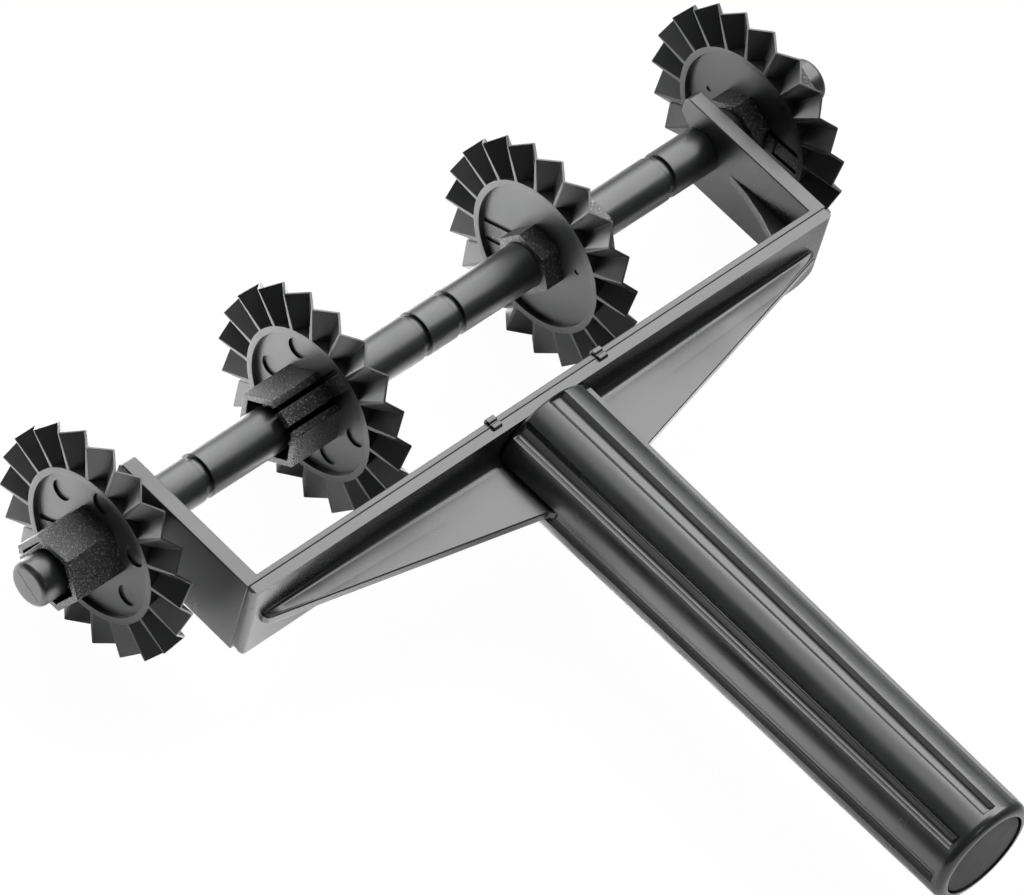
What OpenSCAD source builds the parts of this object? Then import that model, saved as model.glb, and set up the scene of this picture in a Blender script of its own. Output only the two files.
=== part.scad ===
// Hand dough cutter with four crimped wheels. A fluted T-handle holds a fork,
// the fork's arms carry a grooved axle, and the wheels slide along the axle.
// X runs along the axle, +Y points away from the handle and Z is up. The
// origin is the middle of the whole tool. All sizes are in millimetres.

/* [Axle] */
// Diameter of the axle
axle_d = 9.8; // [8:0.1:12]
// Length of the axle from end to end
axle_l = 214; // [200:1:240]
// Radius of the rounding on the axle's ends
axle_round = 1.2; // [0.5:0.1:2]
// Width of a locating groove
groove_w = 2; // [1.2:0.1:3]
// Depth of a locating groove
groove_depth = 0.5; // [0.3:0.05:1]
// Distance of the middle grooves from the middle of the axle
mid_groove_x = 4.65; // [3:0.05:9]
// Distance of the grooves beside the arms from the middle of the axle
arm_groove_x = 63.3; // [58:0.1:68]

/* [Wheels] */
// Diameter over the crimped teeth
wheel_d = 50; // [44:1:52]
// Distance of the inner wheels from the middle of the axle
inner_wheel_x = 31; // [27:0.5:40]
// Distance of the outer wheels from the axle's ends
outer_wheel_inset = 18; // [15:0.5:19]
// Number of teeth on each side of a wheel
teeth = 20; // [14:1:26]
// Width of the crimped wall from crest to crest
crimp_w = 3.7; // [3:0.1:5]
// Width of a crest at its root
crest_root_w = 0.95; // [0.5:0.05:1.2]
// Width of a crest at the rim
crest_rim_w = 0.3; // [0.2:0.02:0.6]
// Axial wall under a crest at its root
crest_root_t = 1.3; // [0.8:0.05:1.6]
// Axial wall under a crest at the rim
crest_rim_t = 0.5; // [0.3:0.02:0.8]
// Outer diameter of the wheel's raised ring
ring_d = 34.1; // [30:0.1:38]
// Radial width of the raised ring
ring_t = 1.45; // [1:0.05:2.5]
// How far the ring stands out past the crests, on each side
ring_step = 0.05; // [0.02:0.01:0.3]
// Thickness of the wheel's disc
disc_t = 1.2; // [0.8:0.1:2]
// Radial clearance of the wheel's bore on the axle
wheel_clearance = 0.1; // [0.05:0.01:0.15]

/* [Hubs] */
// Width over the corners of the long hexagon hub
long_hub_d = 17; // [16:0.1:20]
// Length of the long hub from the middle of the wheel
long_hub_l = 12.75; // [11:0.05:16]
// Wall of the long hub at its flats
long_hub_wall = 1.35; // [1:0.05:1.6]
// Length of the bore that runs on the axle inside the long hub
bore_land = 3; // [2:0.1:5]
// Width over the corners of the short hexagon hub
short_hub_d = 14.3; // [13.6:0.1:16]
// Length of the short hub from the middle of the wheel
short_hub_l = 5.1; // [4:0.1:6]
// Width of the snap finger
finger_w = 3.4; // [2.4:0.1:4]
// Width of the slot on each side of the finger
slot_w = 1.1; // [0.8:0.1:1.4]
// How far the finger stands out past the hub's flat
finger_rise = 0.4; // [0.2:0.1:1]
// Distance of the finger's nose from the middle of the wheel
nose_x = 10.8; // [8:0.1:10.9]
// Width of the nose along the axle
nose_w = 1.6; // [1:0.1:1.8]
// Diameter of the round ejector marks in the disc
mark_d = 4; // [2:0.1:5]
// Depth of the ejector marks
mark_depth = 0.4; // [0.2:0.05:0.6]
// Distance of the ejector marks from the axle
mark_r = 11.8; // [11:0.1:13]
// Diameter of the moulding gate's mark
gate_d = 1.3; // [0.8:0.1:2]
// Distance of the moulding gate's mark from the axle
gate_r = 10.4; // [9:0.1:12]

/* [Fork] */
// Distance of the arms' inner faces from the axle's ends
fork_inset = 31.6; // [31:0.1:34]
// Thickness of an arm
arm_t = 3.6; // [3:0.1:4.4]
// Height of the arms and of the cross bar
bar_h = 20; // [16:0.5:26]
// How far the arms reach past the middle of the axle
arm_end = 6.9; // [6:0.1:9]
// Distance from the axle to the fork's back strip
back_y = 28.2; // [27.6:0.1:36]
// Thickness of the fork's back strip
back_t = 1.4; // [1:0.1:2.4]
// Opening between the jaws where they grip the axle
throat_w = 6.8; // [5.6:0.1:8]
// Length of the throat's straight part
throat_l = 0.4; // [0.2:0.1:1]
// Opening between the jaws at the arm's end
mouth_w = 11.2; // [9:0.1:13]
// Radial clearance of the axle in the arms
axle_clearance = 0.05; // [0.02:0.01:0.1]
// Length of the gusset along the arm
gusset_l = 19.9; // [12:0.1:22]
// Width of the gusset at the back strip
gusset_w = 5.8; // [4:0.1:9]
// Thickness of the gusset
gusset_t = 2; // [1.4:0.1:3]
// Bevel of the arm's corners at its end
arm_corner = 1; // [0.4:0.1:1.3]

/* [Cross bar] */
// Thickness of the handle's cross bar
bar_t = 2.3; // [1.8:0.1:4]
// Rounding of the cross bar's rear corners
bar_corner = 1.6; // [0.4:0.1:1.7]
// Gap between the fork's back strip and the cross bar
seam = 0.1; // [0.05:0.01:0.25]
// Thickness of the fins beside the handle
fin_t = 2.2; // [1.6:0.1:3.2]
// How far the fins reach down the handle from the cross bar
fin_reach = 15.2; // [10:0.1:24]
// Distance of the fins' tips from the ends of the cross bar
fin_inset = 3.6; // [2:0.1:8]
// Radius of the fillet between the fins and the cross bar
fin_fillet = 2.2; // [1:0.1:3]
// Distance of the snap hooks from the middle of the bar
hook_x = 14.2; // [12:0.1:20]
// Width of a snap hook
hook_w = 2.6; // [2:0.1:4]
// Height of a snap hook above the bar
hook_h = 0.9; // [0.6:0.1:1.4]
// How far a snap hook's nose reaches past the back strip
hook_nose = 0.6; // [0.4:0.1:1.2]

/* [Grip] */
// Distance from the axle to the grip's butt
grip_end = 155.5; // [140:0.5:180]
// Diameter of the grip at the cross bar
grip_d = 25.8; // [24:0.1:30]
// Diameter of the grip at the butt
butt_d = 24.1; // [23:0.1:28]
// Number of flutes around the grip
flutes = 8; // [6:1:10]
// Width of a flute across the grip
flute_w = 4.9; // [3:0.1:5.4]
// Depth of a flute
flute_depth = 1.5; // [0.8:0.1:1.8]
// Distance of the flutes' square upper ends from the cross bar
flute_start = 1.7; // [1.4:0.1:5]
// Length of the plain rim at the butt
rim_l = 3; // [2:0.1:6]
// Radius of the rounding around the butt
butt_round = 1.5; // [0.8:0.1:2]
// Length of the steep shoulder where the grip rises from the bar
shoulder = 1.3; // [0.6:0.1:3]
// Diameter of the end cap
cap_d = 19.4; // [17:0.1:19.6]
// Thickness of the end cap
cap_t = 3; // [2:0.1:6]
// How far the end cap sits inside the butt
cap_recess = 0.3; // [0.1:0.05:1]
// Radial clearance of the end cap in its seat
cap_clearance = 0.08; // [0.04:0.01:0.15]
// Wall step that stops the end cap
cap_ledge = 1.2; // [0.8:0.1:2]
// Thickness of the wall that closes the grip at the bar
grip_floor = 8; // [4:0.5:20]

/* [Hidden] */

$fn = 96;
// Cutters run this far past the faces they cut
over = 1;
// The axle sits this far in front of the middle of the tool
axle_y = (grip_end - wheel_d / 2) / 2;
outer_wheel_x = axle_l / 2 - outer_wheel_inset;
arm_in = axle_l / 2 - fork_inset;
arm_out = arm_in + arm_t;
// Front face of the cross bar, as a distance behind the axle
bar_near = back_y + back_t + seam;
bar_far = bar_near + bar_t;
half_flat = cos(30) / 2;
finger_top = long_hub_d * half_flat + finger_rise;
finger_low = long_hub_d * half_flat - long_hub_wall;
mouth_d = 2 * finger_low / cos(30);
disc_r = ring_d / 2 - ring_t;
tooth_pitch = 360 / teeth;
// Turn of each wheel about the axle, as they stand in the photograph
outer_left_turn = -33.4;
inner_left_turn = 114;
inner_right_turn = -24.1;
outer_right_turn = 176.9;

// Puts a piece drawn about the axle's middle into the tool's frame
module on_axle() {
    translate([0, axle_y, 0]) children();
}

// A cylinder along X from x0 to x1
module rod(d, x0, x1) {
    translate([x0, 0, 0]) rotate([0, 90, 0]) cylinder(d = d, h = x1 - x0);
}

// A hexagon bar along X from x0 to x1, with a flat towards +Y
module hexagon(d, x0, x1) {
    translate([x0, 0, 0]) rotate([0, 90, 0]) cylinder(d = d, h = x1 - x0, $fn = 6);
}

// A box given by its lowest and highest corners
module block(low, high) {
    translate(low) cube(high - low);
}

// Grooves along one half of the axle
function groove_places() = [mid_groove_x, inner_wheel_x + nose_x,
                            arm_groove_x, outer_wheel_x + nose_x];

// Half of the axle's outline, with a rounded end and its grooves
module axle_outline() {
    r = axle_d / 2;
    difference() {
        union() {
            square([r - axle_round, axle_l / 2]);
            square([r, axle_l / 2 - axle_round]);
            translate([r - axle_round, axle_l / 2 - axle_round]) circle(axle_round);
        }
        for (x = groove_places())
            translate([r - groove_depth, x - groove_w / 2]) square([over, groove_w]);
    }
}

module axle() {
    color("#2b2c2d") on_axle()
        for (side = [-90, 90])
            rotate([0, side, 0]) rotate_extrude() axle_outline();
}

// One point of the crimped wall, on radius r at angle a and place x
function wall_point(r, a, x) = [x, r * cos(a), r * sin(a)];

// The six points of one tooth on radius r: a crest and the valley beyond it
// on the long hub's side, then the same on the other side
function tooth_points(r, crest_w, crest_t, a) =
    let (h = crimp_w / 2, half = crest_w / 2 / r * 180 / PI, b = a + tooth_pitch / 2)
    [wall_point(r, a - half, -h), wall_point(r, a + half, -h),
     wall_point(r, b, h - crest_t), wall_point(r, a, crest_t - h),
     wall_point(r, b - half, h), wall_point(r, b + half, h)];

// Neighbouring points of the wall's two sides, as indices of tooth_points on
// the root. A tooth has 6 points there and 6 on the rim, then comes the next
function wall_strips() = [[0, 1], [1, 2], [2, 12], [4, 3], [5, 4], [15, 5]];

// Triangles that close the wall's section on the rim
function rim_triangles() = [[6, 9, 7], [7, 9, 10], [7, 10, 8],
                            [8, 10, 11], [8, 11, 21], [8, 21, 18]];

// Triangles of one tooth: its two sides, then its rim, then its root
function tooth_faces() = concat(
    [for (s = wall_strips()) each [[s[0], s[0] + 6, s[1] + 6], [s[0], s[1] + 6, s[1]]]],
    rim_triangles(),
    [for (c = rim_triangles()) [c[2] - 6, c[1] - 6, c[0] - 6]]);

// The crimped wall: a zigzag band from inside the ring out to the rim
module crimped_wall() {
    root_r = ring_d / 2 - ring_t / 2;
    rim_r = wheel_d / 2;
    n = 12 * teeth;
    points = [for (k = [0:teeth - 1])
                  each concat(tooth_points(root_r, crest_root_w, crest_root_t, k * tooth_pitch),
                              tooth_points(rim_r, crest_rim_w, crest_rim_t, k * tooth_pitch))];
    polyhedron(points, [for (k = [0:teeth - 1])
                            for (f = tooth_faces())
                                [for (i = f) (i + 12 * k) % n]]);
}

// The snap finger: a tongue from the ring, a bar along the hub and a nose
module finger() {
    half = finger_w / 2;
    difference() {
        union() {
            block([-disc_t / 2, finger_low, -half], [disc_t / 2, disc_r + ring_t / 2, half]);
            block([-long_hub_l, finger_low, -half], [disc_t / 2, finger_top, half]);
            block([-nose_x - nose_w / 2, 0, -half], [-nose_x + nose_w / 2, finger_low + over / 2, half]);
        }
        rod(axle_d + 2 * wheel_clearance, -long_hub_l - over, short_hub_l);
    }
}

// A wheel about the origin, with its long hub towards -X and its finger at +Y
module wheel_body() {
    finger_room = finger_w / 2 + slot_w;
    difference() {
        union() {
            crimped_wall();
            difference() {
                rod(ring_d, -crimp_w / 2 - ring_step, crimp_w / 2 + ring_step);
                rod(2 * disc_r, -crimp_w, crimp_w);
            }
            rod(2 * disc_r + ring_t, -disc_t / 2, disc_t / 2);
            hexagon(long_hub_d, -long_hub_l, 0);
            hexagon(short_hub_d, 0, short_hub_l);
        }
        rod(axle_d + 2 * wheel_clearance, -long_hub_l - over, short_hub_l + over);
        hexagon(mouth_d, -long_hub_l - over, -bore_land);
        block([-long_hub_l - over, 0, -finger_room], [disc_t / 2 + slot_w / 2, disc_r, finger_room]);
        for (a = [60:60:300])
            rotate([a, 0, 0]) translate([0, mark_r, 0]) rod(mark_d, -disc_t, mark_depth - disc_t / 2);
        translate([0, -gate_r, 0]) rod(gate_d, disc_t / 2 - mark_depth, disc_t);
    }
    finger();
}

// A wheel at place x. Wheels on the right have their long hub towards +X
module wheel(x, turn) {
    color("#252627") on_axle() translate([x, 0, 0]) rotate([turn, 0, 0])
        rotate([0, x > 0 ? 180 : 0, 0]) wheel_body();
}

module wheel_outer_left() wheel(-outer_wheel_x, outer_left_turn);
module wheel_inner_left() wheel(-inner_wheel_x, inner_left_turn);
module wheel_inner_right() wheel(inner_wheel_x, inner_right_turn);
module wheel_outer_right() wheel(outer_wheel_x, outer_right_turn);

// Place where the jaws' throat leaves the bore
function throat_y() = sqrt(pow(axle_d / 2 + axle_clearance, 2) - pow(throat_w / 2, 2));

// Outline of the fork seen along the axle, with bevelled ends and open jaws
module fork_side() {
    h = bar_h / 2;
    back = -back_y - back_t;
    flare_y = throat_y() + throat_l;
    slope = (mouth_w - throat_w) / 2 / (arm_end - flare_y);
    mouth_half = mouth_w / 2 + slope * over;
    difference() {
        polygon([[back, -h], [arm_end - arm_corner, -h], [arm_end, arm_corner - h],
                 [arm_end, h - arm_corner], [arm_end - arm_corner, h], [back, h]]);
        circle(d = axle_d + 2 * axle_clearance);
        polygon([[0, -throat_w / 2], [flare_y, -throat_w / 2], [arm_end + over, -mouth_half],
                 [arm_end + over, mouth_half], [flare_y, throat_w / 2], [0, throat_w / 2]]);
    }
}

// The gusset between the right arm and the back strip
module gusset() {
    translate([0, 0, -gusset_t / 2]) linear_extrude(gusset_t)
        polygon([[arm_in + arm_t / 2, -back_y - back_t / 2],
                 [arm_in - gusset_w, -back_y - back_t / 2],
                 [arm_in - gusset_w, -back_y],
                 [arm_in, gusset_l - back_y],
                 [arm_in + arm_t / 2, gusset_l - back_y]]);
}

module fork() {
    color("#2e2f30") on_axle() {
        difference() {
            rotate([90, 0, 90]) linear_extrude(2 * arm_out, center = true) fork_side();
            block([-arm_in, -back_y, -bar_h], [arm_in, arm_end + over, bar_h]);
        }
        gusset();
        mirror([1, 0, 0]) gusset();
    }
}

// A snap hook on the bar's upper edge, reaching over the fork's back strip
module hook() {
    low = bar_h / 2 + seam;
    high = low + hook_h;
    half = hook_w / 2;
    nose = seam - back_y;
    block([-half, -bar_far + bar_t / 2, low - over], [half, -bar_near, high]);
    block([-half, -bar_near - over / 2, low], [half, nose + hook_nose, high]);
    block([-half, nose, low - hook_h], [half, nose + hook_nose, high]);
}

// Section of a fin seen along X, with the fillets that join it to the bar
module fin_section() {
    side_z = fin_t / 2 + fin_fillet;
    translate([-bar_far - fin_reach, -fin_t / 2]) square([fin_reach + over / 2, fin_t]);
    difference() {
        translate([-bar_far - fin_fillet, -side_z]) square([fin_fillet + over / 2, 2 * side_z]);
        for (z = [-side_z, side_z])
            translate([-bar_far - fin_fillet, z]) circle(fin_fillet);
    }
}

// A fin: its section, cut to the slanted outline seen from above
module fin() {
    tip_x = arm_out - fin_inset;
    intersection() {
        rotate([90, 0, 90]) linear_extrude(tip_x) fin_section();
        translate([0, 0, -bar_h / 2]) linear_extrude(bar_h)
            polygon([[0, -bar_near], [tip_x, -bar_near], [tip_x, -bar_far - over],
                     [grip_d / 2, -bar_far - fin_reach], [0, -bar_far - fin_reach]]);
    }
}

// Outline of the grip in the plane of its axis: y down the grip, x outwards
module grip_outline() {
    end = grip_end;
    top = bar_near + bar_t / 2;
    foot = bar_h / 2 - seam;
    polygon([[0, top], [foot, top], [foot, bar_far], [grip_d / 2, bar_far + shoulder],
             for (a = [0:15:90])
                 [butt_d / 2 - butt_round + butt_round * cos(a), end - butt_round + butt_round * sin(a)],
             [0, end]]);
}

// One flute cutter: a rod set along the grip's taper, round at the butt
module flute_cutter() {
    chord_r = sqrt(pow(grip_d / 2, 2) - pow(flute_w / 2, 2));
    sag = flute_depth - (grip_d / 2 - chord_r);
    r = (pow(flute_w / 2, 2) + pow(sag, 2)) / (2 * sag);
    lift = chord_r - sag + r;
    start = bar_far + flute_start;
    round_l = r * sin(acos(1 - flute_depth / r));
    straight = grip_end - rim_l - start - round_l;
    lean = atan((grip_d - butt_d) / 2 / (grip_end - bar_far));
    translate([lift, 0, start]) rotate([0, -lean, 0]) {
        cylinder(r = r, h = straight);
        translate([0, 0, straight]) sphere(r = r);
    }
}

// Plan of the cross bar, with rounded rear corners
module bar_plan() {
    corner_x = arm_out - bar_corner;
    intersection() {
        translate([-arm_out, -bar_far]) square([2 * arm_out, bar_t]);
        union() {
            translate([-arm_out, -bar_far + bar_corner]) square([2 * arm_out, bar_t]);
            translate([-corner_x, -bar_far]) square([2 * corner_x, bar_t]);
            for (x = [-corner_x, corner_x])
                translate([x, -bar_far + bar_corner]) circle(bar_corner);
        }
    }
}

module handle() {
    color("#232425") on_axle() {
        difference() {
            union() {
                translate([0, 0, -bar_h / 2]) linear_extrude(bar_h) bar_plan();
                fin();
                mirror([1, 0, 0]) fin();
                difference() {
                    rotate([90, 0, 0]) rotate_extrude() grip_outline();
                    for (k = [0:flutes - 1])
                        rotate([90, 0, 0]) rotate([0, 0, 90 + k * 360 / flutes]) flute_cutter();
                }
            }
            // Hollow of the grip and the seat of its end cap
            rotate([90, 0, 0]) translate([0, 0, bar_far + grip_floor])
                cylinder(d = cap_d - 2 * cap_ledge, h = grip_end);
            rotate([90, 0, 0]) translate([0, 0, grip_end - cap_recess - cap_t])
                cylinder(d = cap_d + 2 * cap_clearance, h = grip_end);
        }
        for (x = [-hook_x, hook_x])
            for (side = [0, 1])
                mirror([0, 0, side]) translate([x, 0, 0]) hook();
    }
}

module end_cap() {
    color("#3a3b3c") on_axle() rotate([90, 0, 0])
        translate([0, 0, grip_end - cap_recess - cap_t]) cylinder(d = cap_d, h = cap_t);
}

handle();
end_cap();
fork();
axle();
wheel_outer_left();
wheel_inner_left();
wheel_inner_right();
wheel_outer_right();
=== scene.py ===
import math

import bpy
from mathutils import Matrix, Vector


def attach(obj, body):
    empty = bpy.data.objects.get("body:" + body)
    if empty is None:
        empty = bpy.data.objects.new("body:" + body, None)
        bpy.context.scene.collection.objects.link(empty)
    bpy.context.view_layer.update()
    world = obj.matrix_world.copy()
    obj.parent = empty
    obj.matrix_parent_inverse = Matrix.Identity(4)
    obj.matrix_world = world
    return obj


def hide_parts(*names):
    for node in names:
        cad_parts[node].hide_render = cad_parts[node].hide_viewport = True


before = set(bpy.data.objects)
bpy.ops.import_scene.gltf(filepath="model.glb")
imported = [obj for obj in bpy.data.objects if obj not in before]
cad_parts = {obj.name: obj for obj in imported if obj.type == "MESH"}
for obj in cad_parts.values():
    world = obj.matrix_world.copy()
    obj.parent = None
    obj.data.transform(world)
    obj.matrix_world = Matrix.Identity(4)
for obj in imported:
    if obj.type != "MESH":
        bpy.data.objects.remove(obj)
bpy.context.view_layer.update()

# Camera. A long lens looks down over the grip's left side onto the axle, and
# is rolled so that the grip runs from the middle to the lower right corner.
camera_data = bpy.data.cameras.new("camera")
camera_data.sensor_width = 36
camera_data.lens = 391
camera_data.clip_end = 20
camera = bpy.data.objects.new("camera", camera_data)
bpy.context.scene.collection.objects.link(camera)
view_right = Vector((0.70767, -0.68119, 0.18756))
view_up = Vector((0.46763, 0.65057, 0.5984))
view_back = Vector((-0.52964, -0.33576, 0.77894))
camera.matrix_world = Matrix((view_right, view_up, view_back)).transposed().to_4x4()
camera.location = (-1.1461, -0.68795, 1.6749)
bpy.context.scene.camera = camera
bpy.context.scene.view_settings.view_transform = "Standard"

# Axle. One long turned-looking moulding of satin black plastic, with rounded
# ends and shallow grooves in which the wheels' snap fingers click. The pieces
# are modelled in millimetres around the axle's middle, then set in the frame.
mm = 0.001
axle_y = 65.25
axle_r = 4.9
axle_half = 106.95
axle_round = 1.2
groove_depth = 0.8
groove_half = 0.9
groove_lip = 0.18
groove_places = (4.65, 41.8, 63.3, 99.8)


def deselect():
    bpy.ops.object.select_all(action="DESELECT")


def choose(piece):
    deselect()
    piece.select_set(True)
    bpy.context.view_layer.objects.active = piece


def outline_of(points, name, filled=True):
    """A ring of vertices, moved one by one to the given points."""
    deselect()
    fill = "NGON" if filled else "NOTHING"
    bpy.ops.mesh.primitive_circle_add(vertices=len(points), fill_type=fill)
    piece = bpy.context.object
    piece.name = name
    for vertex, point in zip(piece.data.vertices, points):
        vertex.co = point
    return piece


def edit(piece):
    choose(piece)
    bpy.ops.object.mode_set(mode="EDIT")
    bpy.ops.mesh.select_all(action="SELECT")


def close_up(piece):
    """Merges what touches, turns the faces outwards and leaves edit mode."""
    bpy.ops.mesh.select_all(action="SELECT")
    bpy.ops.mesh.remove_doubles(threshold=0.0005)
    bpy.ops.mesh.normals_make_consistent(inside=False)
    bpy.ops.object.mode_set(mode="OBJECT")
    return piece


def turn(name, profile, steps=96, solid=True):
    """A turned form. The profile is (place along X, radius); a solid one
    starts and ends on the axis, any other is a closed section of a ring."""
    piece = outline_of([(x, r, 0) for x, r in profile], name, filled=False)
    edit(piece)
    if solid:
        bpy.ops.mesh.select_all(action="DESELECT")
        bpy.ops.object.mode_set(mode="OBJECT")
        last = len(profile) - 1
        for line in piece.data.edges:
            line.select = set(line.vertices) == {0, last}
        bpy.ops.object.mode_set(mode="EDIT")
        bpy.ops.mesh.delete(type="EDGE_FACE")
        bpy.ops.mesh.select_all(action="SELECT")
    bpy.ops.mesh.spin(steps=steps, angle=2 * math.pi, center=(0, 0, 0), axis=(1, 0, 0))
    return close_up(piece)


def arc(centre, radius, start, stop, count):
    """Points on an arc, angles in degrees."""
    angles = [math.radians(start + (stop - start) * i / count) for i in range(count + 1)]
    return [(centre[0] + radius * math.cos(a), centre[1] + radius * math.sin(a)) for a in angles]


def blank(name, outline, low, high, along="Z"):
    """A plate cut to an outline and extruded from low to high along an axis.
    The outline is given in (x, y), or for X in (y, z) and for Y in (x, z)."""
    place = {
        "X": lambda u, v: (low, u, v),
        "Y": lambda u, v: (u, low, v),
        "Z": lambda u, v: (u, v, low),
    }
    push = {
        "X": (high - low, 0, 0),
        "Y": (0, high - low, 0),
        "Z": (0, 0, high - low),
    }
    piece = outline_of([place[along](u, v) for u, v in outline], name)
    edit(piece)
    bpy.ops.mesh.extrude_region_move(TRANSFORM_OT_translate={"value": push[along]})
    return close_up(piece)


def loft(name, sections):
    """A form drawn through sections, lists of as many (x, y, z) points each."""
    piece = outline_of(sections[0], name)
    step = (0, 0, 0.001)
    edit(piece)
    for before, after in zip(sections, sections[1:]):
        bpy.ops.object.mode_set(mode="EDIT")
        bpy.ops.mesh.extrude_region_move(TRANSFORM_OT_translate={"value": step})
        bpy.ops.object.mode_set(mode="OBJECT")
        # Each new vertex stands a step above the old one that it comes from
        for vertex in piece.data.vertices:
            if vertex.select:
                foot = vertex.co - Vector(step)
                nearest = min(range(len(before)), key=lambda i: (Vector(before[i]) - foot).length)
                vertex.co = after[nearest]
    bpy.ops.object.mode_set(mode="EDIT")
    return close_up(piece)


def rectangle(left, right, bottom, top):
    return [(left, bottom), (right, bottom), (right, top), (left, top)]


def apply_all(piece):
    choose(piece)
    for modifier in list(piece.modifiers):
        bpy.ops.object.modifier_apply(modifier=modifier.name)
    return piece


def soften(piece, width, segments=2, angle=30):
    """Rounds the sharp edges, as a mould's edges are."""
    bevel = piece.modifiers.new("soft_edges", "BEVEL")
    bevel.width = width
    bevel.segments = segments
    bevel.limit_method = "ANGLE"
    bevel.angle_limit = math.radians(angle)
    bevel.use_clamp_overlap = True
    return apply_all(piece)


def combine(piece, other, operation="DIFFERENCE"):
    """Cuts the other piece out of this one, or keeps what both share, and
    then removes the other."""
    modifier = piece.modifiers.new("combine", "BOOLEAN")
    modifier.operation = operation
    modifier.solver = "EXACT"
    modifier.object = other
    apply_all(piece)
    bpy.data.objects.remove(other)
    return piece


def join(name, pieces):
    choose(pieces[0])
    for piece in pieces[1:]:
        piece.select_set(True)
    bpy.ops.object.join()
    pieces[0].name = name
    return pieces[0]


def finish_shading(piece, angle=40):
    """Smooth bevels and curves beside flat faces that stay flat."""
    choose(piece)
    bpy.ops.object.shade_smooth_by_angle(angle=math.radians(angle))
    flat = piece.modifiers.new("flat_faces", "WEIGHTED_NORMAL")
    flat.keep_sharp = True
    return apply_all(piece)


def set_in_frame(piece):
    """From millimetres around the axle's middle to the frame, in metres."""
    piece.scale = (mm, mm, mm)
    piece.location = (0, axle_y * mm, 0)
    choose(piece)
    bpy.ops.object.transform_apply(location=True, rotation=True, scale=True)
    return piece


def ramp(tree, source, start, stop, at_start, at_stop, course="LINEAR"):
    """A value that goes from at_start to at_stop while the source goes from
    start to stop."""
    node = tree.nodes.new("ShaderNodeMapRange")
    node.interpolation_type = course
    node.inputs["From Min"].default_value = start
    node.inputs["From Max"].default_value = stop
    node.inputs["To Min"].default_value = at_start
    node.inputs["To Max"].default_value = at_stop
    tree.links.new(source, node.inputs["Value"])
    return node.outputs["Result"]


def moulded_plastic(name, colour, roughness, grain, grain_size, mottle=0.08, depth=0.05, painted_glints=0):
    """Injection moulded plastic: a fine grain from the mould's surface, and
    wide, faint clouds in which the gloss and the shade change a little. The
    grain's size and depth are in millimetres, mottle is how far the roughness
    changes, and painted_glints is how pale the base colour is painted on the
    grain's tips, as painted glints of a coarse surface."""
    material = bpy.data.materials.new(name)
    material.use_nodes = True
    tree = material.node_tree
    nodes = tree.nodes
    links = tree.links
    shader = nodes["Principled BSDF"]
    place = nodes.new("ShaderNodeTexCoord")

    clouds = nodes.new("ShaderNodeTexNoise")
    clouds.inputs["Scale"].default_value = 55
    clouds.inputs["Detail"].default_value = 4
    links.new(place.outputs["Object"], clouds.inputs["Vector"])
    gloss = ramp(tree, clouds.outputs["Fac"], 0.3, 0.7, roughness - mottle, roughness + mottle)
    links.new(gloss, shader.inputs["Roughness"])

    shade = nodes.new("ShaderNodeMix")
    shade.data_type = "RGBA"
    shade.inputs["A"].default_value = (*[c * 0.8 for c in colour], 1)
    shade.inputs["B"].default_value = (*[c * 1.25 for c in colour], 1)
    links.new(clouds.outputs["Fac"], shade.inputs["Factor"])

    pores = nodes.new("ShaderNodeTexNoise")
    pores.inputs["Scale"].default_value = 1 / (grain_size * mm)
    pores.inputs["Detail"].default_value = 3
    pores.inputs["Roughness"].default_value = 0.6
    links.new(place.outputs["Object"], pores.inputs["Vector"])

    # Painted glints: the base colour turns pale on the grain's tips
    glint = ramp(tree, pores.outputs["Fac"], 0.55, 0.72, 0, painted_glints)
    pale = nodes.new("ShaderNodeMix")
    pale.data_type = "RGBA"
    pale.inputs["B"].default_value = (0.3, 0.3, 0.3, 1)
    links.new(glint, pale.inputs["Factor"])
    links.new(shade.outputs["Result"], pale.inputs["A"])
    links.new(pale.outputs["Result"], shader.inputs["Base Color"])

    relief = nodes.new("ShaderNodeBump")
    relief.inputs["Strength"].default_value = grain
    relief.inputs["Distance"].default_value = depth * mm
    links.new(pores.outputs["Fac"], relief.inputs["Height"])
    links.new(relief.outputs["Normal"], shader.inputs["Normal"])
    return material


groove_r = axle_r - groove_depth
lip_r = axle_r - groove_lip
axle_profile = [(-axle_half, 0)]
axle_profile += arc((axle_round - axle_half, axle_r - axle_round), axle_round, 180, 90, 6)
for middle in sorted([-x for x in groove_places] + list(groove_places)):
    left = middle - groove_half
    right = middle + groove_half
    axle_profile += arc((left - groove_lip, lip_r), groove_lip, 90, 0, 3)
    axle_profile += [(left, groove_r), (right, groove_r)]
    axle_profile += arc((right + groove_lip, lip_r), groove_lip, 180, 90, 3)
axle_profile += arc((axle_half - axle_round, axle_r - axle_round), axle_round, 90, 0, 6)
axle_profile += [(axle_half, 0)]
axle = turn("axle_bar", axle_profile, steps=128)

# The mould's two halves leave a thin line across each end face
line_turn = math.radians(24)
line_reach = axle_r - axle_round
line_half = 0.07
line_sunk = 0.3
line_proud = 0.04
for end in (-axle_half, axle_half - line_sunk):
    line = blank("mould_line", rectangle(-line_reach, line_reach, -line_half, line_half),
                 end - line_proud, end + line_sunk + line_proud, "X")
    line.data.transform(Matrix.Rotation(line_turn, 4, "X"))
    axle = join("axle_bar", [axle, soften(line, line_proud, 2)])
finish_shading(axle)
set_in_frame(axle)
axle_finish = moulded_plastic("axle_satin", (0.014, 0.0145, 0.015), 0.34, 0.25, 0.35)
axle.data.materials.append(axle_finish)
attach(axle, "axle")
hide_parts("axle")

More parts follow.
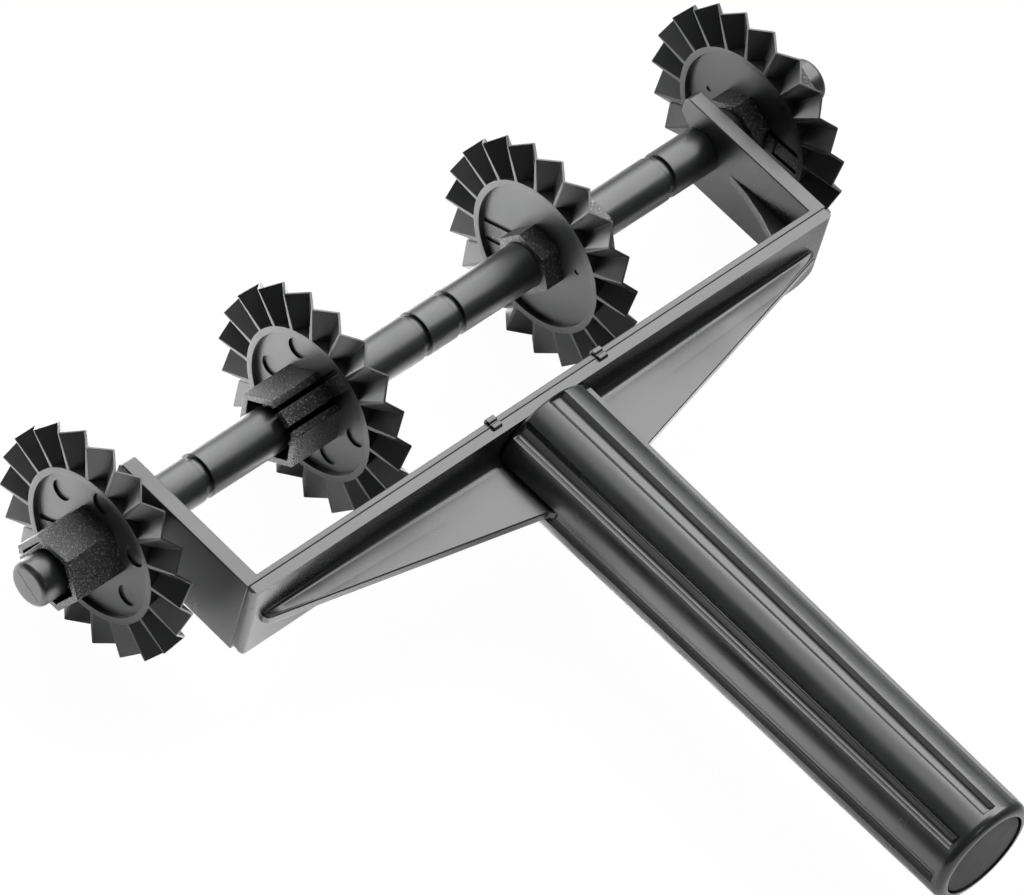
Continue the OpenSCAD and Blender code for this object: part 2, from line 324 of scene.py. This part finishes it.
# Wheels. Each is one black moulding: a crimped cutting wall on a raised ring,
# a thin disc, a long hexagon hub with a snap finger cut into one flat, and a
# short hexagon hub on the other side. One is modelled and copied to four.
teeth = 20
rim_r = 25
wall_root_r = 16.3
wall_half = 1.85
ring_out_r = 17.05
ring_in_r = 15.6
ring_half = 1.9
disc_half = 0.6
slit_y = 14.7
slit_r = 0.55
slit_web = 0.12
pin_circle_r = 11.8
pin_r = 2.3
pin_depth = 0.55
gate_y = -10.4
gate_r = 0.65
gate_depth = 0.3
long_hub_r = 8.5
long_hub_l = 12.75
mouth_r = 6.94
bore_land = 3
bore_r = 5
short_hub_r = 7.15
short_hub_l = 5.1
slot_half = 2.8
slot_end = 1.15
finger_low = 6.01
finger_high = 7.76
finger_half = 1.7
nose_x = 10.8
nose_half = 0.6
nose_foot = 0.8
nose_clear = 0.02
tongue_half = 0.7
heel_l = 1.7
through = 20  # longer than a wheel, for what is cut right through it


def tooth_section(radius, crest_width, crest_thickness):
    """Nine corners of one tooth's section on a radius, as (x, y, z)."""
    half_pitch = math.pi / teeth
    half = crest_width / 2 / radius
    far = wall_half - crest_thickness
    corners = [
        (-half_pitch, far), (-half, -wall_half), (half, -wall_half), (half_pitch, far),
        (half_pitch, wall_half), (half_pitch - half, wall_half), (0, -far),
        (half - half_pitch, wall_half), (-half_pitch, wall_half),
    ]
    return [(x, radius * math.cos(a), radius * math.sin(a)) for a, x in corners]


def hexagon(radius):
    return [(radius * math.cos(math.radians(a)), radius * math.sin(math.radians(a)))
            for a in range(30, 390, 60)]


def drill(radius, low, high, y=0, z=0, steps=48):
    """A cutter for a round hole along X. It starts at 2 degrees, so that none
    of its corners lies on an edge of the disc."""
    return blank("drill", arc((y, z), radius, 2, 362 - 360 / steps, steps - 1), low, high, "X")


# One tooth of the wall from its root to its rim, then all twenty
root_corners = tooth_section(wall_root_r, crest_width=0.95, crest_thickness=1.3)
rim_corners = tooth_section(rim_r, crest_width=0.3, crest_thickness=0.5)
wall = loft("crimped_wall", [root_corners, rim_corners])
edge_angle = math.pi / teeth - 0.001
edit(wall)
bpy.ops.mesh.select_mode(type="FACE")
bpy.ops.mesh.select_all(action="DESELECT")
bpy.ops.object.mode_set(mode="OBJECT")
for face in wall.data.polygons:
    face.select = abs(math.atan2(face.center.z, face.center.y)) > edge_angle
bpy.ops.object.mode_set(mode="EDIT")
bpy.ops.mesh.delete(type="FACE")
bpy.ops.mesh.select_mode(type="VERT")
bpy.ops.mesh.select_all(action="SELECT")
bpy.ops.mesh.spin(steps=teeth - 1, dupli=True, angle=2 * math.pi * (teeth - 1) / teeth,
                  center=(0, 0, 0), axis=(1, 0, 0))
close_up(wall)
soften(wall, 0.09, 2, 20)

ring = turn("ring", rectangle(-ring_half, ring_half, ring_in_r, ring_out_r), 120, solid=False)
soften(ring, 0.15, 2)

# The disc, with two slits beside the finger and shallow marks where pins
# pushed the moulding out of its mould
disc = turn("disc", rectangle(-disc_half, disc_half, bore_r, ring_in_r + 0.5), 96, solid=False)
for side in (-1, 1):
    slit_z = side * (slot_half - slit_r)
    slit = arc((slit_y, slit_z), slit_r, -90, 90, 8)
    slit += [(0, slit_z + slit_r), (0, slit_z - slit_r)]
    combine(disc, blank("slit", slit, -2, -slit_web, "X"))
    combine(disc, blank("slit", slit, slit_web, 2, "X"))
for angle in range(60, 360, 60):
    pin_y = pin_circle_r * math.cos(math.radians(angle))
    pin_z = pin_circle_r * math.sin(math.radians(angle))
    combine(disc, drill(pin_r, -2, pin_depth - disc_half, pin_y, pin_z))
combine(disc, drill(gate_r, disc_half - gate_depth, 2, gate_y, 0, 24))
soften(disc, 0.12, 2, 50)

long_hub = blank("long_hub", hexagon(long_hub_r), -long_hub_l, 0, "X")
slots = rectangle(0, through, -slot_half, slot_half)
combine(long_hub, blank("mouth", hexagon(mouth_r), -through, -bore_land, "X"))
combine(long_hub, drill(bore_r, -through, through))
combine(long_hub, blank("slots", slots, -through, through, "X"))
soften(long_hub, 0.14, 2)

short_hub = blank("short_hub", hexagon(short_hub_r), 0, short_hub_l, "X")
combine(short_hub, drill(bore_r, -through, through))
combine(short_hub, blank("slots", slots, -through, slot_end, "X"))
soften(short_hub, 0.22, 2)

# The finger springs from the ring, runs along the hub and ends in a nose
finger_outline = [
    (-long_hub_l, finger_low), (-nose_x - nose_foot, finger_low),
    (-nose_x - nose_half, bore_r + nose_clear), (-nose_x + nose_half, bore_r + nose_clear),
    (-nose_x + nose_foot, finger_low), (tongue_half, finger_low),
    (tongue_half, ring_in_r + 0.4), (-tongue_half, ring_in_r + 0.4), (-tongue_half, finger_high),
    (-long_hub_l, finger_high),
]
finger = soften(blank("finger", finger_outline, -finger_half, finger_half), 0.14, 2)
heel = soften(blank("heel", rectangle(0, heel_l, finger_low + 0.5, finger_high + 0.9),
                    -finger_half + 0.15, finger_half - 0.15), 0.2, 2)

wheel_finish = moulded_plastic("wheel_satin", (0.013, 0.0135, 0.014), 0.36, 0.35, 0.25)
# The hub's finish has painted glints: pale base colour on its grain's tips
hub_finish = moulded_plastic("hub_eroded", (0.012, 0.0125, 0.013), 0.3, 1, 0.45,
                             mottle=0.1, depth=0.22, painted_glints=0.7)
for piece in (wall, ring, disc):
    piece.data.materials.append(wheel_finish)
for piece in (long_hub, short_hub, finger, heel):
    piece.data.materials.append(hub_finish)
master = join("wheel_master", [wall, ring, disc, long_hub, short_hub, finger, heel])
finish_shading(master)

# Name, place along the axle, and how far the wheel stands turned about it.
# The two right ones face the other way, so that all long hubs point outwards.
wheel_places = (
    ("wheel_outer_left", -89, -33.4),
    ("wheel_inner_left", -31, 114),
    ("wheel_inner_right", 31, -24.1),
    ("wheel_outer_right", 89, 176.9),
)
for node, place_x, turned in wheel_places:
    choose(master)
    bpy.ops.object.duplicate()
    wheel = bpy.context.object
    wheel.name = node + "_crimped"
    facing = math.pi if place_x > 0 else 0
    wheel.data.transform(Matrix.Translation((place_x, 0, 0))
                         @ Matrix.Rotation(math.radians(turned), 4, "X")
                         @ Matrix.Rotation(facing, 4, "Y"))
    set_in_frame(wheel)
    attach(wheel, node)
    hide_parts(node)
bpy.data.objects.remove(master)

# Fork. A satin black moulding in the shape of a U: a thin back strip and two
# arms whose open jaws snap over the axle, with a small gusset at each corner.
arm_in = 75.4
arm_out = 79
arm_end = 6.9
strip_front = -28.2
strip_back = -29.6
bar_half_h = 10
jaw_bore_r = 4.95
throat_half = 3.4
throat_end = 4
mouth_half = 5.6
mouth_flare = 0.7
corner_cut = 1
gusset_half = 1
gusset_foot = 5.8
gusset_end = -8.3
across = 90  # further out than the arms, for what is cut through both
fork_plan = [
    (-arm_out, strip_back), (arm_out, strip_back), (arm_out, arm_end), (arm_in, arm_end),
    (arm_in, strip_front), (-arm_in, strip_front), (-arm_in, arm_end), (-arm_out, arm_end),
]
fork = blank("fork_u", fork_plan, -bar_half_h, bar_half_h)
for side in (-1, 1):
    bevelled = [
        (arm_end - corner_cut, side * (bar_half_h + 0.01)),
        (arm_end + 0.01, side * (bar_half_h + 0.01)),
        (arm_end + 0.01, side * (bar_half_h - corner_cut)),
    ]
    combine(fork, blank("corner", bevelled, -across, across, "X"))
soften(fork, 0.3, 3)

# The jaws: a round seat, a throat narrower than the axle and a flared mouth
throat_angle = math.degrees(math.asin(throat_half / jaw_bore_r))
jaw_shape = arc((0, 0), jaw_bore_r, throat_angle, 360 - throat_angle, 60)
jaw_shape += [
    (throat_end, -throat_half), (arm_end, -mouth_half), (arm_end + 1, -mouth_half - mouth_flare),
    (arm_end + 1, mouth_half + mouth_flare), (arm_end, mouth_half), (throat_end, throat_half),
]
combine(fork, blank("jaws", jaw_shape, -across, across, "X"))

# The gussets' long edges are a little hollow
for side in (-1, 1):
    gusset_plan = [
        (side * (arm_in + 1), strip_front - 0.6), (side * (arm_in - gusset_foot), strip_front - 0.6),
        (side * (arm_in - gusset_foot), strip_front), (side * (arm_in - 2.4), -19.6),
        (side * (arm_in - 0.9), -14), (side * arm_in, gusset_end), (side * (arm_in + 1), gusset_end),
    ]
    gusset = soften(blank("gusset", gusset_plan, -gusset_half, gusset_half), 0.3, 2)
    fork = join("fork_u", [fork, gusset])
finish_shading(fork)
set_in_frame(fork)
fork.data.materials.append(moulded_plastic("fork_satin", (0.015, 0.0155, 0.016), 0.32, 0.22, 0.4))
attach(fork, "holder")
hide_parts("fork")

# Handle. One glossy black moulding: a cross bar against the fork's strip, a
# thin fin on each side that stiffens it, and a hollow grip with eight flutes.
# Four small hooks reach over the seam and hold the fork.
bar_near = -29.7
bar_far = -32
plate_round = 1.6
grip_r = 12.9
butt_r = 12.05
grip_end = -155.5
butt_round = 1.9
flutes = 8
flute_floor = 1.1
flute_top = 2.45
flute_depth = 1.35
flute_start = -32.7
flute_stop = -153.5
flute_narrowing = 0.75
seat_r = 9.78
seat_depth = 3.3
core_r = 8.5
core_end = -40
fin_half = 1.1
fin_start = 9.5
fin_rise = 0.22
fin_tip = 75.4
fin_run = 62
fin_reach = 15.2
fin_root = 16.4
hook_half = 1.1
hook_places = (-13, 15.9)

plate_plan = [(-arm_out, bar_near), (arm_out, bar_near)]
plate_plan += arc((arm_out - plate_round, bar_far + plate_round), plate_round, 0, -90, 6)
plate_plan += arc((plate_round - arm_out, bar_far + plate_round), plate_round, -90, -180, 6)
plate = blank("cross_bar", plate_plan, -bar_half_h, bar_half_h)
# Seen from behind, the plate's corners are round, and most so at the lower right
corners = ((1, 1, 0.7), (-1, 1, 0.5), (-1, -1, 2), (1, -1, 6.5))
plate_face = []
for k, (side, level, radius) in enumerate(corners):
    centre = (side * (arm_out - radius), level * (bar_half_h - radius))
    plate_face += arc(centre, radius, 90 * k, 90 * k + 90, max(1, round(1.3 * radius)))
combine(plate, blank("plate_face", plate_face, bar_far - 1, bar_near + 1, "Y"), "INTERSECT")
soften(plate, 0.28, 3, 35)

fins = []
for side in (-1, 1):
    fin_plan = [
        (side * fin_start, bar_far + 1), (side * fin_tip, bar_far + 1),
        (side * fin_tip, bar_far - 0.4),
        (side * (fin_tip - 0.3), bar_far - 1.1), (side * (fin_tip - 0.9), bar_far - 1.6),
        (side * (fin_tip - fin_run), bar_far - fin_reach),
        (side * (fin_tip - fin_run - 0.8), bar_far - fin_reach - 0.3),
        (side * 11.8, bar_far - fin_root), (side * fin_start, bar_far - fin_root),
    ]
    fins.append(soften(blank("fin", fin_plan, -fin_half, fin_half), 0.35, 3))
    # Hollow fillets between the fin and the bar, drawn through sections at so
    # many millimetres from the fin's tip, where they fade out. The fin's face
    # climbs a little towards its fillet.
    for level in (-1, 1):
        sections = []
        for left in (70, 12.5, 5, 3.6, 2.6, 1.7, 0.9, 0.4):
            fade = math.sqrt(1 - (1 - min(1, left / 4)) ** 2)
            deep = (0.7 + 0.03 * left) * fade
            high = (1.2 + 0.03 * left) * fade
            rise = fin_rise * fade
            slope_end = deep + min(3.2, 0.2 * left) * fade + 0.1
            curve = arc((0, 0), 1, 0, -90, 8)
            curve = [(bar_far - deep + deep * u, fin_half + rise + high + high * v) for u, v in curve]
            curve += [(bar_far - slope_end, fin_half), (bar_far - slope_end, fin_half - 0.3),
                      (bar_far + 0.3, fin_half - 0.3), (bar_far + 0.3, fin_half + rise + high)]
            sections.append([(side * (fin_tip - left), y, level * z) for y, z in curve])
        fins.append(loft("fillet", sections))

# The grip is a turned core along X, fluted, hollowed and turned to run
# backwards from the bar
grip_profile = [(-bar_near + 0.6, 0), (-bar_near + 0.6, bar_half_h - 0.1)]
grip_profile += [(-bar_far, bar_half_h - 0.1), (-bar_far + 0.1, 11.6), (-bar_far + 0.35, 12.5),
                 (-bar_far + 0.9, grip_r)]
grip_profile += arc((-grip_end - butt_round, butt_r - butt_round), butt_round, 90, 0, 10)
grip_profile += [(-grip_end, seat_r), (-grip_end - seat_depth, seat_r),
                 (-grip_end - seat_depth, core_r), (-core_end, core_r), (-core_end, 0)]
grip = turn("grip", grip_profile, 180)
taper = math.atan((grip_r - butt_r) / (bar_far - grip_end))
flute_section = [(-flute_floor, -flute_depth), (flute_floor, -flute_depth), (flute_top, 0),
                 (flute_top + 0.6, 1.5), (-flute_top - 0.6, 1.5), (-flute_top, 0)]
for k in range(flutes):
    cutter = blank("flute", [(y, grip_r + z) for y, z in flute_section], -flute_start, -flute_stop, "X")
    # At the butt a flute is narrower, and its floor stops a little sooner
    for vertex in cutter.data.vertices:
        if vertex.co.x > -flute_stop - 1:
            vertex.co.y *= flute_narrowing
            if vertex.co.z < grip_r - 1:
                vertex.co.x -= 1
    soften(cutter, 0.55, 4, 30)
    cutter.data.transform(Matrix.Rotation(2 * math.pi * k / flutes, 4, "X")
                          @ Matrix.Translation((-bar_far, 0, grip_r))
                          @ Matrix.Rotation(taper, 4, "Y")
                          @ Matrix.Translation((bar_far, 0, -grip_r)))
    combine(grip, cutter)
soften(grip, 0.35, 4, 32)
grip.data.transform(Matrix.Rotation(-math.pi / 2, 4, "Z"))

# Snap hooks: a root on the bar, a bridge over the strip that ends in a nose,
# and a narrow notch between them. The section is in (y, z), and the bar's top
# lies at z 10. The pairs stand a little off the middle.
hooks = []
hook_section = [
    (bar_near - 1, 9.5), (bar_near - 1, 10.2), (bar_near - 0.7, 10.6), (bar_near - 0.1, 10.7),
    (bar_near + 0.15, 10.6), (bar_near + 0.25, 10.3), (bar_near + 0.5, 10.3),
    (bar_near + 0.65, 10.5), (bar_near + 0.9, 10.7), (strip_front + 0.2, 10.7),
    (strip_front + 0.5, 10.4), (strip_front + 0.55, 9.4), (strip_front + 0.15, 9.1),
    (strip_front + 0.15, 10.1), (bar_near, 10.1), (bar_near, 9.5),
]
for hook_x in hook_places:
    for level in (-1, 1):
        hook = blank("hook", [(y, level * z) for y, z in hook_section],
                     hook_x - hook_half, hook_x + hook_half, "X")
        hooks.append(soften(hook, 0.25, 3))
handle = join("handle_grip", [grip, plate] + fins + hooks)
finish_shading(handle)
set_in_frame(handle)
handle.data.materials.append(moulded_plastic("handle_gloss", (0.014, 0.0145, 0.0148), 0.24, 0.03, 0.5))
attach(handle, "holder")
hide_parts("handle")

# End cap. A matt black disc pressed into the grip's butt, a little below its
# rim, with a softly rounded edge that leaves a thin ring-shaped seam. Its face
# is crowned a little.
cap_r = 9.6
cap_l = 3
cap_sunk = 0.3
cap_round = 0.5
cap_crown = 0.08
cap_out = -grip_end - cap_sunk
cap_profile = [(cap_out - cap_l, 0), (cap_out - cap_l, cap_r)]
cap_profile += arc((cap_out - cap_round, cap_r - cap_round), cap_round, 90, 0, 5)
cap_profile += [(cap_out + cap_crown / 4, cap_r - 2), (cap_out + cap_crown * 3 / 4, cap_r / 2),
                (cap_out + cap_crown, 0)]
cap = turn("end_cap_disc", cap_profile, 96)
cap.data.transform(Matrix.Rotation(-math.pi / 2, 4, "Z"))
finish_shading(cap)
set_in_frame(cap)
cap_finish = moulded_plastic("cap_matt", (0.014, 0.0145, 0.015), 0.5, 0.6, 0.3)
cap_finish.node_tree.nodes["Principled BSDF"].inputs["Specular IOR Level"].default_value = 0.13
cap.data.materials.append(cap_finish)
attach(cap, "holder")
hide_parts("end_cap")

# Studio. A floor of white paper and seven soft lamps. The largest stands behind
# and to the right, where all upward faces mirror it. For reflections only, the
# paper's colour is painted brighter than white close to the cross bar and fades
# away from it and to the sides: a painted reflection over the paper's real shadows.
deselect()
bpy.ops.mesh.primitive_plane_add(size=6, location=(0, 0, -0.0252))
floor = bpy.context.object
floor.name = "studio_floor"
paper = bpy.data.materials.new("paper")
paper.use_nodes = True
paper_tree = paper.node_tree
paper_nodes = paper_tree.nodes
paper_links = paper_tree.links


def reckon(operation, source, other=None):
    """A value worked out from another one, with a second value or a number."""
    node = paper_nodes.new("ShaderNodeMath")
    node.operation = operation
    paper_links.new(source, node.inputs[0])
    if isinstance(other, (int, float)):
        node.inputs[1].default_value = other
    elif other is not None:
        paper_links.new(other, node.inputs[1])
    return node.outputs["Value"]


spot = paper_nodes.new("ShaderNodeTexCoord")
split = paper_nodes.new("ShaderNodeSeparateXYZ")
paper_links.new(spot.outputs["Object"], split.inputs["Vector"])
# Painted reflection: for glossy rays the paper's colour is raised above white near the cross bar, and
# less beyond it and to the sides
up_to_bar = ramp(paper_tree, split.outputs["Y"], -0.1, 0.03, 0.4, 1.9)
past_bar = ramp(paper_tree, split.outputs["Y"], 0.045, 0.075, 1, 0.86)
sideways = reckon("ABSOLUTE", reckon("ADD", split.outputs["X"], 0.045))
spread = ramp(paper_tree, sideways, 0.03, 0.16, 1.7, 0.2, "SMOOTHSTEP")
painted_reflection = reckon("MULTIPLY", reckon("MULTIPLY", up_to_bar, past_bar), spread)
path = paper_nodes.new("ShaderNodeLightPath")
# The paper is 0.8 white, and glossy rays see the painted reflection instead
whiteness_and_painted_reflection = paper_nodes.new("ShaderNodeMix")
whiteness_and_painted_reflection.inputs["A"].default_value = 0.8
paper_links.new(path.outputs["Is Glossy Ray"], whiteness_and_painted_reflection.inputs["Factor"])
paper_links.new(painted_reflection, whiteness_and_painted_reflection.inputs["B"])
sheet = paper_nodes.new("ShaderNodeBsdfDiffuse")
paper_links.new(whiteness_and_painted_reflection.outputs["Result"], sheet.inputs["Color"])
glow = paper_nodes.new("ShaderNodeEmission")
seen = reckon("MULTIPLY", path.outputs["Is Camera Ray"], 0.98)
blend = paper_nodes.new("ShaderNodeMixShader")
paper_links.new(seen, blend.inputs["Fac"])
paper_links.new(sheet.outputs["BSDF"], blend.inputs[1])
paper_links.new(glow.outputs["Emission"], blend.inputs[2])
paper_links.new(blend.outputs["Shader"], paper_nodes["Material Output"].inputs["Surface"])
floor.data.materials.append(paper)


def softbox(name, position, width, height, power):
    """A square lamp that faces the tool."""
    lamp_data = bpy.data.lights.new(name, "AREA")
    lamp_data.shape = "RECTANGLE"
    lamp_data.size = width
    lamp_data.size_y = height
    lamp_data.energy = power
    lamp = bpy.data.objects.new(name, lamp_data)
    bpy.context.scene.collection.objects.link(lamp)
    lamp.location = position
    lamp.rotation_euler = (-Vector(position)).to_track_quat("-Z", "Y").to_euler()


softbox("back_light", (0.84, 0.5, 1.25), 2.8, 1.2, 75)
softbox("top_light", (0.05, 0.4, 1.5), 0.9, 0.7, 6)
softbox("rear_light", (0.8, 1.3, 0.65), 2, 0.7, 15)
softbox("right_light", (1.5, 0.5, 0.6), 0.6, 0.5, 1.2)
softbox("left_light", (-1.1, 0.35, 0.5), 0.2, 0.6, 1)
softbox("front_light", (0.05, -1.3, 0.85), 0.2, 0.2, 1.2)
softbox("fin_light", (0.95, -0.5, 1.1), 0.5, 0.5, 2)

world = bpy.data.worlds.new("studio")
bpy.context.scene.world = world
world.use_nodes = True
world_tree = world.node_tree
sky = world_tree.nodes["Background"]
sky.inputs["Color"].default_value = (1, 1, 1, 1)
world_path = world_tree.nodes.new("ShaderNodeLightPath")
strength = ramp(world_tree, world_path.outputs["Is Camera Ray"], 0, 1, 0.1, 1)
world_tree.links.new(strength, sky.inputs["Strength"])
